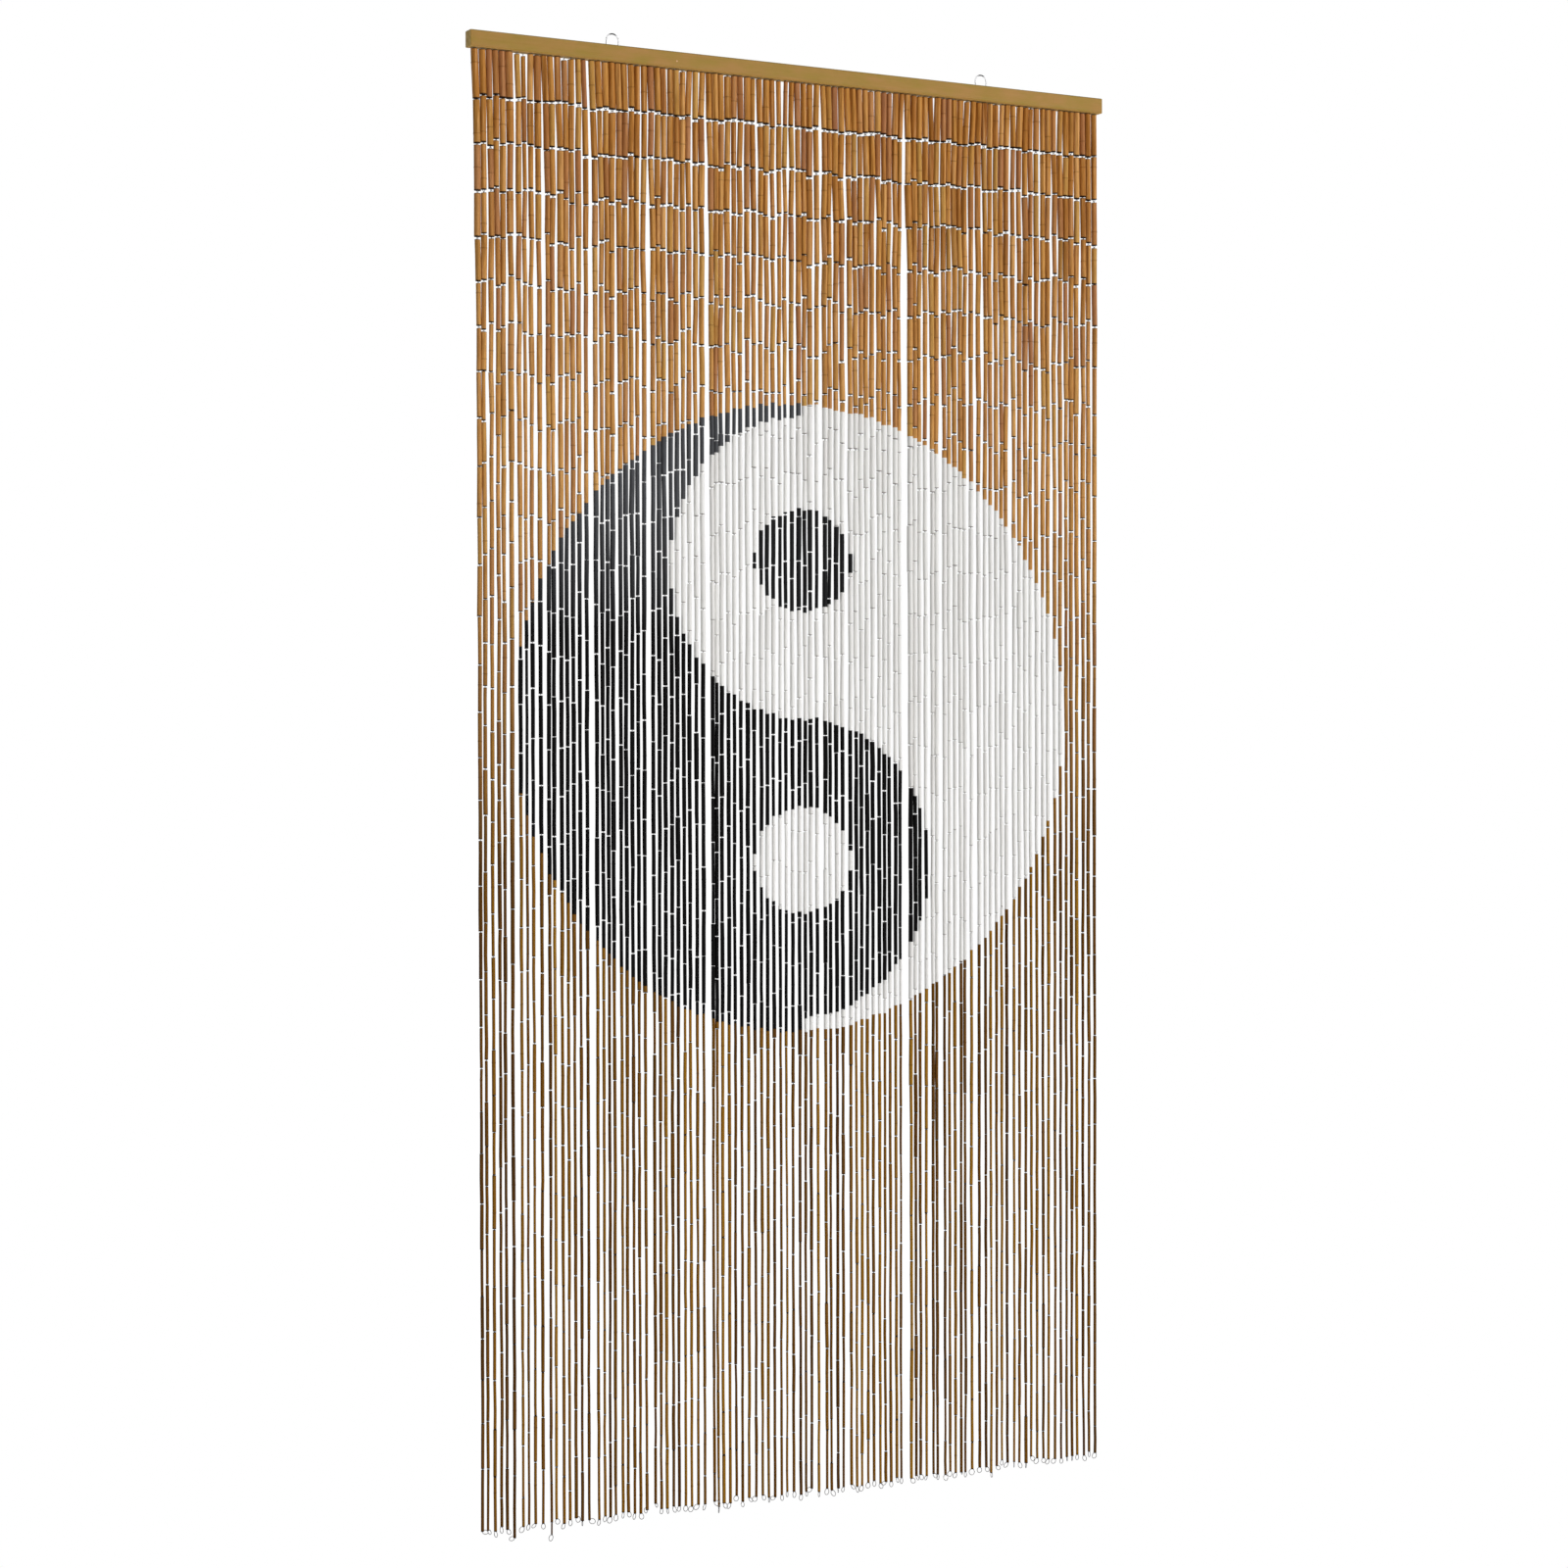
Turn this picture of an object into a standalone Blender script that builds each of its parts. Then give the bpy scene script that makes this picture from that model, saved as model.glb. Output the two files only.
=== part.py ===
"""Bamboo door curtain: a wooden rail with two wire eyes and a row of bamboo strands.

Metres, +Z up. The rail runs along X and the curtain faces -Y. The origin is the middle
of the rail's back face. Each strand is a slender tapering solid that follows the line its
canes hang in, and its root is fused into a narrow strip that hangs under the rail.
"""
import math
import random
from collections import namedtuple

import bmesh
import bpy
from mathutils import Matrix, Vector

# Rail
RAIL_LENGTH = 1.000
RAIL_HEIGHT = 0.022
RAIL_DEPTH = 0.018
RAIL_EDGE_RADIUS = 0.0015
RAIL_EDGE_STEPS = 2
RAIL_TOP = RAIL_HEIGHT / 2
RAIL_UNDERSIDE = -RAIL_HEIGHT / 2
RAIL_MIDDLE_Y = -RAIL_DEPTH / 2

# Hanging eyes: wire bent to an arch, its two legs driven into the rail's top
EYE_PLACES = {"left_eye": -0.289, "right_eye": 0.296}
EYE_WIDTH = 0.020
EYE_RISE = 0.017
EYE_WIRE = 0.0018
EYE_LEG_DEPTH = 0.008
EYE_ARCH_STEPS = 10
EYE_WIRE_SIDES = 8

# Clear space between pieces that touch on the real curtain
CLEARANCE = 0.0003

# Strands
STRAND_COUNT = 100
STRAND_PITCH = 0.0099
CANES_PER_STRAND = 32
CANE_PITCH = 0.06145
CANE_GAP = 0.003
FIRST_CANE_DROP = 0.0025
END_LOOP_LENGTH = 0.009
END_LOOP_WIDTH = 0.0022
CANE_WIDTH_AT_TOP = 0.0080
CANE_WIDTH_LEAST = 0.0020
TAPER_DROP = 1.10
SOLID_WIDTH_SHARE = 0.95

# How the strands hang: drawn in a little, in slow waves along the rail, each with its own place and sway
DRAWN_IN_SHARE = 0.0036
SETTLE_DROP = 0.05
PLACE_SPREAD = 0.0019
WAVE_SHIFT = 0.0015
WAVE_STRANDS = 40
FOOT_DIP = 0.003
SWAY_SIDEWAYS = 0.0005
SWAY_FRONT_TO_BACK = 0.0009
TOP_SWAY_SHARE = 0.3
SWAY_DROP = 0.40
WIDTH_SPREAD = 0.08
LENGTH_SPREAD = 0.003
STRAND_CLEARANCE = 0.0004
EASING_PASSES = 12
HANG_SEED = 11

# Strip that carries the roots: it stands for the row of small wire rings
STRIP_COUNT = 4
STRIP_HEIGHT = 0.0015
ROOT_WIDTH = 0.0026

# The canes after which a strand may change direction
KINK_CANES = (1, 2, 4, 6, 9, 12, 15, 18, 22, 26, 29)

# Strands that stand out from the row, numbered from 0 at the left.
# shift: sideways at the foot, to the right; longer: added length; stout: share of the usual width
Standout = namedtuple("Standout", "number shift longer stout")
STANDOUTS = (
    Standout(number=0, shift=0.0035, longer=0.000, stout=1.00),
    Standout(number=2, shift=0.0020, longer=0.002, stout=1.00),
    Standout(number=5, shift=0.0000, longer=0.011, stout=1.05),
    Standout(number=7, shift=0.0000, longer=-0.002, stout=0.80),
    Standout(number=10, shift=0.0036, longer=0.015, stout=0.95),
    Standout(number=11, shift=-0.0004, longer=-0.004, stout=1.00),
    Standout(number=17, shift=0.0015, longer=0.001, stout=1.05),
    Standout(number=26, shift=0.0000, longer=-0.008, stout=0.95),
    Standout(number=35, shift=0.0036, longer=0.000, stout=1.00),
    Standout(number=36, shift=-0.0004, longer=0.004, stout=1.00),
    Standout(number=39, shift=0.0000, longer=-0.006, stout=0.95),
    Standout(number=46, shift=0.0010, longer=0.002, stout=0.82),
    Standout(number=47, shift=-0.0016, longer=-0.001, stout=0.80),
    Standout(number=53, shift=0.0017, longer=0.000, stout=1.00),
    Standout(number=57, shift=0.0015, longer=0.000, stout=1.00),
    Standout(number=66, shift=-0.0020, longer=0.000, stout=0.75),
    Standout(number=67, shift=0.0050, longer=0.001, stout=1.15),
    Standout(number=68, shift=0.0010, longer=0.001, stout=1.10),
    Standout(number=71, shift=0.0015, longer=0.000, stout=1.00),
    Standout(number=72, shift=-0.0012, longer=0.001, stout=1.00),
    Standout(number=77, shift=-0.0030, longer=0.003, stout=1.00),
    Standout(number=80, shift=0.0018, longer=0.000, stout=1.00),
    Standout(number=81, shift=0.0000, longer=0.007, stout=1.00),
    Standout(number=83, shift=0.0000, longer=-0.004, stout=0.95),
    Standout(number=84, shift=-0.0027, longer=0.000, stout=1.00),
    Standout(number=88, shift=0.0000, longer=-0.005, stout=0.90),
)

# What one strand is like: where it hangs, how far it is shifted, its last cane's end and its width
Strand = namedtuple("Strand", "hook_x shift end_drop stout")


def make_material(name, colour, roughness, metallic):
    """A Principled material with one plain finish."""
    material = bpy.data.materials.new(name)
    material.use_nodes = True
    shader = material.node_tree.nodes["Principled BSDF"]
    shader.inputs["Base Color"].default_value = (*colour, 1.0)
    shader.inputs["Roughness"].default_value = roughness
    shader.inputs["Metallic"].default_value = metallic
    return material


def rail_wood():
    """Olive-brown stained wood with a thin satin coat."""
    return make_material("rail_wood", (0.36, 0.23, 0.055), roughness=0.45, metallic=0.0)


def steel_wire():
    """Bright drawn wire."""
    return make_material("steel_wire", (0.55, 0.55, 0.56), roughness=0.32, metallic=1.0)


def bamboo():
    """Warm tan cane."""
    return make_material("bamboo", (0.43, 0.22, 0.075), roughness=0.5, metallic=0.0)


def add_object(name, data, material):
    """Link a new object to the scene and give it its material."""
    piece = bpy.data.objects.new(name, data)
    data.materials.append(material)
    bpy.context.collection.objects.link(piece)
    return piece


def mesh_from(bm, name):
    """Turn a finished bmesh into a mesh."""
    mesh = bpy.data.meshes.new(name)
    bm.to_mesh(mesh)
    bm.free()
    return mesh


def add_eye_hole_cutter(material):
    """Four round pegs, a little wider than the wire, where the eyes' legs enter the rail."""
    hole_radius = (EYE_WIRE / 2 + CLEARANCE) / math.cos(math.pi / EYE_WIRE_SIDES)
    hole_depth = EYE_LEG_DEPTH + CLEARANCE
    leg_spread = (EYE_WIDTH - EYE_WIRE) / 2
    bm = bmesh.new()
    for eye_x in EYE_PLACES.values():
        for leg_side in (-1, 1):
            x = eye_x + leg_side * leg_spread
            bmesh.ops.create_cone(
                bm, cap_ends=True, segments=EYE_WIRE_SIDES,
                radius1=hole_radius, radius2=hole_radius, depth=2 * hole_depth,
                matrix=Matrix.Translation((x, RAIL_MIDDLE_Y, RAIL_TOP)),
            )
    cutter = add_object("eye_hole_cutter", mesh_from(bm, "eye_hole_cutter"), material)
    cutter.hide_render = True
    cutter.display_type = "WIRE"
    return cutter


def add_rail(material):
    """A square-cut batten with eased edges and holes for the eyes' legs."""
    bm = bmesh.new()
    bmesh.ops.create_cube(bm, size=1.0)
    bmesh.ops.scale(bm, vec=(RAIL_LENGTH, RAIL_DEPTH, RAIL_HEIGHT), verts=bm.verts)
    bmesh.ops.translate(bm, vec=(0, RAIL_MIDDLE_Y, 0), verts=bm.verts)
    rail = add_object("rail", mesh_from(bm, "rail"), material)
    edges = rail.modifiers.new("eased_edges", "BEVEL")
    edges.width = RAIL_EDGE_RADIUS
    edges.segments = RAIL_EDGE_STEPS
    holes = rail.modifiers.new("eye_holes", "BOOLEAN")
    holes.operation = "DIFFERENCE"
    holes.solver = "EXACT"
    holes.object = add_eye_hole_cutter(material)
    return rail


def add_eye(name, eye_x, material):
    """One hanging eye: a wire arch that stands across the rail's length, open front to back."""
    arch_radius = (EYE_WIDTH - EYE_WIRE) / 2
    arch_start = EYE_RISE - EYE_WIRE / 2 - arch_radius
    line = [Vector((-arch_radius, 0, -EYE_LEG_DEPTH))]
    for step in range(EYE_ARCH_STEPS + 1):
        angle = math.pi * (1 - step / EYE_ARCH_STEPS)
        rise = arch_start + arch_radius * math.sin(angle)
        line.append(Vector((arch_radius * math.cos(angle), 0, rise)))
    line.append(Vector((arch_radius, 0, -EYE_LEG_DEPTH)))
    curve = bpy.data.curves.new(name, "CURVE")
    curve.dimensions = "3D"
    curve.bevel_depth = EYE_WIRE / 2
    curve.bevel_resolution = EYE_WIRE_SIDES // 2 - 2
    curve.use_fill_caps = True
    spline = curve.splines.new("POLY")
    spline.points.add(len(line) - 1)
    for point, place in zip(spline.points, line):
        point.co = (*place, 1.0)
    eye = add_object(name, curve, material)
    eye.location = (eye_x, RAIL_MIDDLE_Y, RAIL_TOP)
    return eye


def cane_width(drop):
    """Canes are cut from a stem's thick end at the rail and from its thin end at the foot."""
    return CANE_WIDTH_LEAST + (CANE_WIDTH_AT_TOP - CANE_WIDTH_LEAST) * math.exp(-drop / TAPER_DROP)


def settled(drop):
    """The share of its sideways shift that a strand has reached at a drop below the rail."""
    return 1 - math.exp(-drop / SETTLE_DROP)


def plan_strands(chance):
    """Work out every strand from the even row, its own small spread and the standouts."""
    standouts = {row.number: row for row in STANDOUTS}
    plain_end = FIRST_CANE_DROP + CANES_PER_STRAND * CANE_PITCH - CANE_GAP
    strands = []
    for number in range(STRAND_COUNT):
        hook_x = (number - (STRAND_COUNT - 1) / 2) * STRAND_PITCH
        wave = WAVE_SHIFT * math.sin(math.tau * (number - 5) / WAVE_STRANDS)
        own_shift = chance.uniform(-PLACE_SPREAD, PLACE_SPREAD)
        dip = FOOT_DIP * math.cos(math.pi * hook_x / RAIL_LENGTH)
        end_drop = plain_end + dip + chance.uniform(-LENGTH_SPREAD, LENGTH_SPREAD)
        stout = 1 + chance.uniform(-WIDTH_SPREAD, WIDTH_SPREAD)
        row = standouts.get(number)
        if row:
            own_shift = row.shift
            end_drop += row.longer
            stout *= row.stout
        shift = own_shift + wave - DRAWN_IN_SHARE * hook_x
        strands.append(Strand(hook_x, shift, end_drop, stout))
    return strands


def widen_between(places, widths):
    """Ease touching neighbours apart by equal shares, then push right what still touches."""
    reaches = [(left + right) / 2 + STRAND_CLEARANCE for left, right in zip(widths, widths[1:])]
    for _ in range(EASING_PASSES):
        for left, reach in enumerate(reaches):
            lack = max(0.0, reach - (places[left + 1] - places[left]))
            places[left] -= lack / 2
            places[left + 1] += lack / 2
    for left, reach in enumerate(reaches):
        places[left + 1] = max(places[left + 1], places[left] + reach)


def ring_row(strands, drops, chance):
    """One ring of each strand as (x, y, drop, width), all at about the same height."""
    widths = [SOLID_WIDTH_SHARE * strand.stout * cane_width(drop) for strand, drop in zip(strands, drops)]
    places = []
    depths = []
    for strand, drop in zip(strands, drops):
        freedom = min(1.0, TOP_SWAY_SHARE + drop / SWAY_DROP)
        sway = chance.uniform(-SWAY_SIDEWAYS, SWAY_SIDEWAYS) * freedom
        places.append(strand.hook_x + strand.shift * settled(drop) + sway)
        depths.append(RAIL_MIDDLE_Y + chance.uniform(-SWAY_FRONT_TO_BACK, SWAY_FRONT_TO_BACK) * freedom)
    widen_between(places, widths)
    return list(zip(places, depths, drops, widths))


def plan_rings(strands, chance):
    """Rings of every strand from its first cane's top to its last cane's end, row by row."""
    rows = [ring_row(strands, [FIRST_CANE_DROP] * len(strands), chance)]
    for canes in KINK_CANES:
        drop = FIRST_CANE_DROP + canes * CANE_PITCH
        rows.append(ring_row(strands, [drop] * len(strands), chance))
    rows.append(ring_row(strands, [strand.end_drop for strand in strands], chance))
    return rows


def draw_ring(bm, face, centre, width):
    """Extrude the open end of a strand to a new square ring and return the new end."""
    end = bmesh.ops.extrude_discrete_faces(bm, faces=[face])["faces"][0]
    old_centre = end.calc_center_median()
    old_width = max(vert.co.x for vert in end.verts) - min(vert.co.x for vert in end.verts)
    size = width / old_width
    about = Matrix.Translation(-old_centre)
    bmesh.ops.scale(bm, vec=(size, size, 1.0), space=about, verts=end.verts)
    bmesh.ops.translate(bm, vec=centre - old_centre, verts=end.verts)
    return end


def add_strand(bm, root, rings):
    """Draw one strand down from its root on the strip, ending in a slim tail for the wire loop."""
    end = root
    for x, y, drop, width in rings:
        end = draw_ring(bm, end, Vector((x, y, RAIL_UNDERSIDE - drop)), width)
    x, y, drop, _ = rings[-1]
    for below in (CLEARANCE, END_LOOP_LENGTH):
        end = draw_ring(bm, end, Vector((x, y, RAIL_UNDERSIDE - drop - below)), END_LOOP_WIDTH)


def add_strip(name, numbers, strands, rows, material):
    """A narrow strip under the rail with its share of the strands fused to it, as one body."""
    strip_top = RAIL_UNDERSIDE - CLEARANCE
    first_x = strands[numbers[0]].hook_x - (STRAND_PITCH - CLEARANCE) / 2
    last_x = strands[numbers[-1]].hook_x + (STRAND_PITCH - CLEARANCE) / 2
    bm = bmesh.new()
    bmesh.ops.create_cube(bm, size=1.0)
    bmesh.ops.scale(bm, vec=(last_x - first_x, ROOT_WIDTH, STRIP_HEIGHT), verts=bm.verts)
    middle = ((first_x + last_x) / 2, RAIL_MIDDLE_Y, strip_top - STRIP_HEIGHT / 2)
    bmesh.ops.translate(bm, vec=middle, verts=bm.verts)
    for number in numbers:
        for side in (-1, 1):
            cut_x = strands[number].hook_x + side * ROOT_WIDTH / 2
            bmesh.ops.bisect_plane(
                bm, geom=bm.verts[:] + bm.edges[:] + bm.faces[:],
                plane_co=(cut_x, 0, 0), plane_no=(1, 0, 0),
            )
    bm.normal_update()
    undersides = [face for face in bm.faces if face.normal.z < -0.5]
    for number in numbers:
        hook_x = strands[number].hook_x
        root = min(undersides, key=lambda face: abs(face.calc_center_median().x - hook_x))
        undersides.remove(root)
        add_strand(bm, root, [row[number] for row in rows])
    return add_object(name, mesh_from(bm, name), material)


def build():
    """Clear the scene and make the rail, its eyes and the strips of strands."""
    for old in list(bpy.data.objects):
        bpy.data.objects.remove(old, do_unlink=True)
    wire = steel_wire()
    cane = bamboo()
    add_rail(rail_wood())
    for name, eye_x in EYE_PLACES.items():
        add_eye(name, eye_x, wire)
    chance = random.Random(HANG_SEED)
    strands = plan_strands(chance)
    rows = plan_rings(strands, chance)
    share = STRAND_COUNT // STRIP_COUNT
    for strip in range(STRIP_COUNT):
        numbers = range(strip * share, (strip + 1) * share)
        add_strip(f"strands_{strip + 1}", numbers, strands, rows, cane)


build()
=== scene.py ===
import math
import random
from collections import namedtuple

import bmesh
import bpy
import numpy as np
from mathutils import Matrix, Vector


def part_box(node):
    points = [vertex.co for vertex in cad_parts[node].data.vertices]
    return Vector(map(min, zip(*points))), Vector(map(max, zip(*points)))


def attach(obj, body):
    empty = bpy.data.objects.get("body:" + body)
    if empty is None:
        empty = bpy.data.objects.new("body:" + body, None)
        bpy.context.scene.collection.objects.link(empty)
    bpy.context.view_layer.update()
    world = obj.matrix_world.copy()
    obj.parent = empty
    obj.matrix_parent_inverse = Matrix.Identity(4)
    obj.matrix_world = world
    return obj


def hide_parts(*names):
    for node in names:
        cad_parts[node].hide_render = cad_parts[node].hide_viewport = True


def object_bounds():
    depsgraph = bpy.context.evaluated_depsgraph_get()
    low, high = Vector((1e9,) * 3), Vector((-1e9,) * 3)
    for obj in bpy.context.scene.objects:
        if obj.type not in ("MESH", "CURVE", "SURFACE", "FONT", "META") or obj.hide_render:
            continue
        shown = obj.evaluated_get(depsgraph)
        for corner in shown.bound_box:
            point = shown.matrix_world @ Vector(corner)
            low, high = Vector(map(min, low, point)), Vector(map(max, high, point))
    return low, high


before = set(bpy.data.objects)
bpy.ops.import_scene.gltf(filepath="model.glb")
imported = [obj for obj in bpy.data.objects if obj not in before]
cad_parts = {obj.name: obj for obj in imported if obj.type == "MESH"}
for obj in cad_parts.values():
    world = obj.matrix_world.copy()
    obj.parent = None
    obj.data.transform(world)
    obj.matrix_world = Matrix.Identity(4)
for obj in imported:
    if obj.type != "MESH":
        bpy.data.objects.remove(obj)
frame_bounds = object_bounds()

# Everything hangs from the rail, so its box places the rest
RAIL_LOW, RAIL_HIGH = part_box("rail")
RAIL_TOP = RAIL_HIGH.z
RAIL_UNDERSIDE = RAIL_LOW.z
RAIL_MIDDLE_Y = (RAIL_LOW.y + RAIL_HIGH.y) / 2
RAIL_LENGTH = 1.000
STRIPS = ("strands_1", "strands_2", "strands_3", "strands_4")

# Row of strands, as it is built
STRAND_COUNT = 100
STRAND_PITCH = 0.0099
CANES_PER_STRAND = 32
CANE_PITCH = 0.06145
CANE_GAP = 0.003
FIRST_CANE_DROP = 0.0025
CANE_WIDTH_AT_TOP = 0.0080
CANE_WIDTH_LEAST = 0.0020
TAPER_DROP = 1.10
SOLID_WIDTH_SHARE = 0.95
DRAWN_IN_SHARE = 0.0036
SETTLE_DROP = 0.05
PLACE_SPREAD = 0.0019
WAVE_SHIFT = 0.0015
WAVE_STRANDS = 40
WAVE_START = 5
FOOT_DIP = 0.003
SWAY_SIDEWAYS = 0.0005
SWAY_FRONT_TO_BACK = 0.0009
TOP_SWAY_SHARE = 0.3
SWAY_DROP = 0.40
WIDTH_SPREAD = 0.08
LENGTH_SPREAD = 0.003
STRAND_CLEARANCE = 0.0004
EASING_PASSES = 12
HANG_SEED = 11
KINK_CANES = (1, 2, 4, 6, 9, 12, 15, 18, 22, 26, 29)

# Strands that stand out in the row: place, length and thickness against the even ones
Standout = namedtuple("Standout", "number shift longer stout")
STANDOUTS = (
    Standout(number=0, shift=0.0035, longer=0.000, stout=1.00),
    Standout(number=2, shift=0.0020, longer=0.002, stout=1.00),
    Standout(number=5, shift=0.0000, longer=0.011, stout=1.05),
    Standout(number=7, shift=0.0000, longer=-0.002, stout=0.80),
    Standout(number=10, shift=0.0036, longer=0.015, stout=0.95),
    Standout(number=11, shift=-0.0004, longer=-0.004, stout=1.00),
    Standout(number=17, shift=0.0015, longer=0.001, stout=1.05),
    Standout(number=26, shift=0.0000, longer=-0.008, stout=0.95),
    Standout(number=35, shift=0.0036, longer=0.000, stout=1.00),
    Standout(number=36, shift=-0.0004, longer=0.004, stout=1.00),
    Standout(number=39, shift=0.0000, longer=-0.006, stout=0.95),
    Standout(number=46, shift=0.0010, longer=0.002, stout=0.82),
    Standout(number=47, shift=-0.0016, longer=-0.001, stout=0.80),
    Standout(number=53, shift=0.0017, longer=0.000, stout=1.00),
    Standout(number=57, shift=0.0015, longer=0.000, stout=1.00),
    Standout(number=66, shift=-0.0020, longer=0.000, stout=0.75),
    Standout(number=67, shift=0.0050, longer=0.001, stout=1.15),
    Standout(number=68, shift=0.0010, longer=0.001, stout=1.10),
    Standout(number=71, shift=0.0015, longer=0.000, stout=1.00),
    Standout(number=72, shift=-0.0012, longer=0.001, stout=1.00),
    Standout(number=77, shift=-0.0030, longer=0.003, stout=1.00),
    Standout(number=80, shift=0.0018, longer=0.000, stout=1.00),
    Standout(number=81, shift=0.0000, longer=0.007, stout=1.00),
    Standout(number=83, shift=0.0000, longer=-0.004, stout=0.95),
    Standout(number=84, shift=-0.0027, longer=0.000, stout=1.00),
    Standout(number=88, shift=0.0000, longer=-0.005, stout=0.90),
)
Strand = namedtuple("Strand", "hook_x shift end_drop stout")

# Canes: what a cutter leaves uneven
CANE_SEED = 23
CANE_SIDES = 8
CANE_LENGTH_SPREAD_AT_TOP = 0.025
CANE_LENGTH_SPREAD_STEP = 0.011
CANE_LENGTH_SPREAD = 0.09
LAST_CANE_LEAST = 0.65
LAST_CANE_MOST = 1.35
CANE_WIDTH_SPREAD_AT_TOP = 0.08
CANE_WIDTH_SPREAD_AT_FOOT = 0.12
CANE_TOUCH = 0.00005
CANE_OVAL = 0.05
CANE_TAPER = 0.05
CANE_BEND_AT_TOP = 0.0001
CANE_BEND_AT_FOOT = 0.0002
KNOT_SHARE = 0.35
KNOT_SWELL = 0.07
KNOT_HALF_LENGTH = 0.022
KNOT_FIRST_PLACE = 0.2
KNOT_LAST_PLACE = 0.8
KNOT_BAND = 0.002
CANE_END_SLANT = 0.08
CANE_WALL = 0.34
CANE_BORE_DEPTH = 0.06
CANE_END_SHARE = 0.1
LUCK_MOST = 2.0

# Lacquer and paint, which thicken the canes
CANE_SKIN = 0.0007
FIRST_CANES_SKIN = 0.0006
FIRST_CANES_FALL = 0.10
BARE_COAT_PER_METRE = 0.0004
BARE_COAT_FROM = 1.3
WHITE_COAT = 0.0003
BLACK_COAT_PER_METRE = 0.0011
BLACK_COAT_FROM = 0.45

# What colours each cane, kept on its points, and the share of its tone that isn't its strand's
CANE_TONE_OWN_SHARE = 0.7
CANE_VALUES = (
    "cane_tone",
    "strand_tone",
    "cane_warmth",
    "from_top",
    "from_bottom",
    "cane_knot",
    "paint_x",
    "paint_z",
)

# How the joints hang out of line, and the gaps that the wire keeps open between canes
STRAND_EVENING = 0.3
STRAND_EVENING_DROP = 1.0
STRAND_WANDER = 0.0004
HOOK_SWAY = 0.0008
JOINT_SWAY_AT_TOP = 0.0011
JOINT_SWAY_AT_FOOT = 0.00015
JOINT_SWAY_FALL = 0.28
JOINT_GAP_AT_TOP = 0.0034
JOINT_GAP_AT_FOOT = 0.0011
JOINT_GAP_SPREAD = 0.6
JOINT_GAP_FALL = 0.30
FIRST_CANE_LEAST = 0.0008
FIRST_CANE_SLACK = 0.0009
FIRST_CANE_MOST = 0.0050

# A short odd cane ends this strand
SHORT_LAST_CANE = {10: 0.017}
SHORT_CANE_WIDTH_SHARE = 0.65

# Clear gaps in the row: the strand on the left of each, how far both sides draw back, and the drop
# at which it opens. A push below zero closes a gap.
Parting = namedtuple("Parting", "after push opens", defaults=(0.0,))
PARTINGS = (
    Parting(5, 0.0004),
    Parting(16, 0.0022, -0.02),
    Parting(24, -0.0008),
    Parting(25, 0.0016),
    Parting(34, 0.0015),
    Parting(40, -0.0005),
    Parting(45, -0.0006),
    Parting(47, -0.0003),
    Parting(52, 0.0010),
    Parting(56, 0.0010),
    Parting(66, -0.0035),
    Parting(66, 0.0056, 0.05),
    Parting(70, 0.0015),
    Parting(72, 0.0006),
    Parting(78, 0.0008),
    Parting(85, -0.0008),
)
PARTING_FADE = 0.5

# Wire between and below the canes
LINK_WIRE_SHARE = 0.42
LINK_HOLD = 0.0005
LINK_SPREAD = 0.6
LINK_RADIUS_SHARE = 0.22
LINK_STEPS = 8
LINK_SIDES = 3
STAPLE_WIRE = 0.0009
STAPLE_RADIUS = 0.0021
STAPLE_STEPS = 12
STAPLE_SIDES = 4
STAPLE_TURN_SPREAD = 0.25
HANG_RING_RISE = 0.0006
HANG_RING_WIDE = 0.6
HANG_RING_TALL = 0.75
END_LOOP_WIRE = 0.0010
END_LOOP_STEPS = 18
END_LOOP_SIDES = 5
END_LOOP_PATTERN_WIRE = 0.2
END_LOOP_LEAST = 0.0034
END_LOOP_MOST = 0.0044
END_LOOP_NARROW_SHARE = 0.55
END_LOOP_WIDE_SHARE = 0.9
END_LOOP_TURN = -0.3
END_LOOP_TURN_SPREAD = 0.6
END_LOOP_SWING_SPREAD = 0.5
END_LOOP_SWING_MOST = 1.2
SET_LOOP_SWINGS = {0: -1.25, 5: 1.45}
EYE_WIRE_SIDES = 12
EYE_STEPS = 20
QUARTER_TURN = math.pi / 2

# Edges sharper than this are shaded hard
SHARP_ANGLE = math.radians(62)

# Painted figure's rounds: sideways from the middle, down from the rail's top, half width and half height
Round = namedtuple("Round", "x drop wide tall")
DISC = Round(-0.001, 0.9076, 0.4377, 0.4377)
UPPER_LOBE = Round(0.006, 0.6984, 0.2110, 0.2110)
LOWER_LOBE = Round(-0.002, 1.1166, 0.2100, 0.2100)
DARK_SPOT = Round(0.002, 0.6874, 0.0775, 0.0715)
WHITE_SPOT = Round(0.002, 1.1059, 0.0775, 0.0740)
PAINT_JITTER = 0.003
NAIL_HEAD = Round(-0.196, 0.013, 0.0011, 0.0011)

# Heights between which a finish changes, from and to
AMBER_PALES = (-0.10, -0.45)
CANES_DARKEN = (-0.60, -1.10)
# The black paint's grey sheen, a painted reflection, fades to deep black between these heights
BLACK_SHEEN_FADES = (-0.60, -0.78)
EYE_DARKENS = (RAIL_TOP + 0.0138, RAIL_TOP + 0.0152)
# A greenish grey band along the rail's top edge, a painted reflection on its bevel, between these heights
RAIL_EDGE_SHEEN = (RAIL_TOP - 0.0018, RAIL_TOP - 0.0004)

# How near the rail's end the stain gives way to barer wood, and how near its underside to a lighter tone,
# painted light on the shaded underside
BARE_END_DEPTH = 0.0004
LIT_UNDERSIDE_DEPTH = 0.0003

# Distances from a cane's end between which it is darkened with painted shade of the joint gaps: bare canes
# at top and bottom, white paint at the bottom
TOP_END_SHADE = (0.0012, 0.0004)
BOTTOM_END_SHADE = (0.0018, 0.0008)
WHITE_BOTTOM_SHADE = (0.0014, 0.0004)

# How far apart in the noise the canes take their streaks
STREAK_SPREAD = 40.0

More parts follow.
